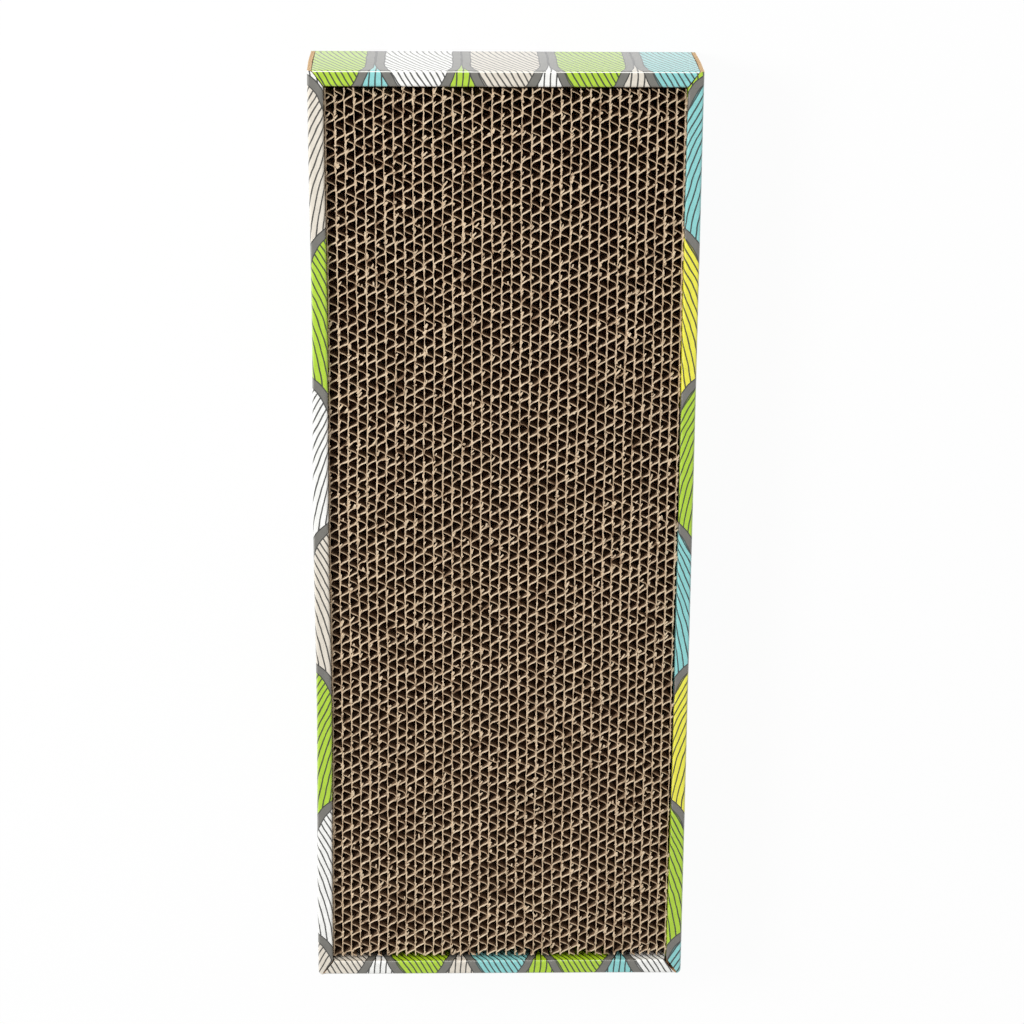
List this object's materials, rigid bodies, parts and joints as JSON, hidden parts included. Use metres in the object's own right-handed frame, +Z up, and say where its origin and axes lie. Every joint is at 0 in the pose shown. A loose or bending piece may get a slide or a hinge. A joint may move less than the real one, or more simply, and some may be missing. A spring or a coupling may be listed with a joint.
{
  "type": "cardboard cat scratcher",
  "caption": "Flat cat scratcher: a folded, printed cardboard tray with hollow rimmed walls round a loose pad of corrugated sheets standing on edge.",
  "frame": {"origin": "centre of the tray's underside, on the floor", "axes": "+Y along the tray, +X across it, +Z up; the picture's top is the +Y end"},
  "size_m": [0.2026, 0.507, 0.062],
  "materials": {
    "printed_board": "satin varnished print",
    "plain_board": "raw kraft",
    "corrugated_sheet": "raw kraft, cut edges up",
    "pad_liner": "raw kraft"
  },
  "bodies": {
    "tray": {"base_panel": "plain_board", "left_outer_wall": "printed_board", "right_outer_wall": "printed_board", "front_outer_wall": "printed_board", "back_outer_wall": "printed_board", "left_rim": "printed_board", "right_rim": "printed_board", "front_rim": "printed_board", "back_rim": "printed_board", "left_inner_wall": "printed_board", "right_inner_wall": "printed_board", "front_inner_wall": "printed_board", "back_inner_wall": "printed_board", "left_corner_flaps": "plain_board", "right_corner_flaps": "plain_board"},
    "pad": {"pad_layer_01": "corrugated_sheet", "pad_layer_02": "corrugated_sheet", "pad_layer_03": "corrugated_sheet", "pad_layer_04": "corrugated_sheet", "pad_layer_05": "corrugated_sheet", "pad_layer_06": "corrugated_sheet", "pad_layer_07": "corrugated_sheet", "pad_layer_08": "corrugated_sheet", "pad_layer_09": "corrugated_sheet", "pad_layer_10": "corrugated_sheet", "pad_layer_11": "corrugated_sheet", "pad_layer_12": "corrugated_sheet", "pad_layer_13": "corrugated_sheet", "pad_layer_14": "corrugated_sheet", "pad_layer_15": "corrugated_sheet", "pad_layer_16": "corrugated_sheet", "pad_layer_17": "corrugated_sheet", "pad_layer_18": "corrugated_sheet", "pad_layer_19": "corrugated_sheet", "pad_layer_20": "corrugated_sheet", "pad_layer_21": "corrugated_sheet", "pad_layer_22": "corrugated_sheet", "pad_layer_23": "corrugated_sheet", "pad_layer_24": "corrugated_sheet", "pad_layer_25": "corrugated_sheet", "pad_layer_26": "corrugated_sheet", "pad_layer_27": "corrugated_sheet", "pad_layer_28": "corrugated_sheet", "pad_layer_29": "corrugated_sheet", "pad_layer_30": "corrugated_sheet", "pad_layer_31": "corrugated_sheet", "pad_layer_32": "corrugated_sheet", "pad_layer_33": "corrugated_sheet", "pad_layer_34": "corrugated_sheet", "pad_layer_35": "corrugated_sheet", "pad_layer_36": "corrugated_sheet", "pad_layer_37": "corrugated_sheet", "closing_liner": "pad_liner"}
  },
  "joints": [
    {"name": "pad_lift", "type": "slide", "parent": "tray", "child": "pad", "axis": [0, 0, 1], "range_m": [0, 0.064]}
  ]
}
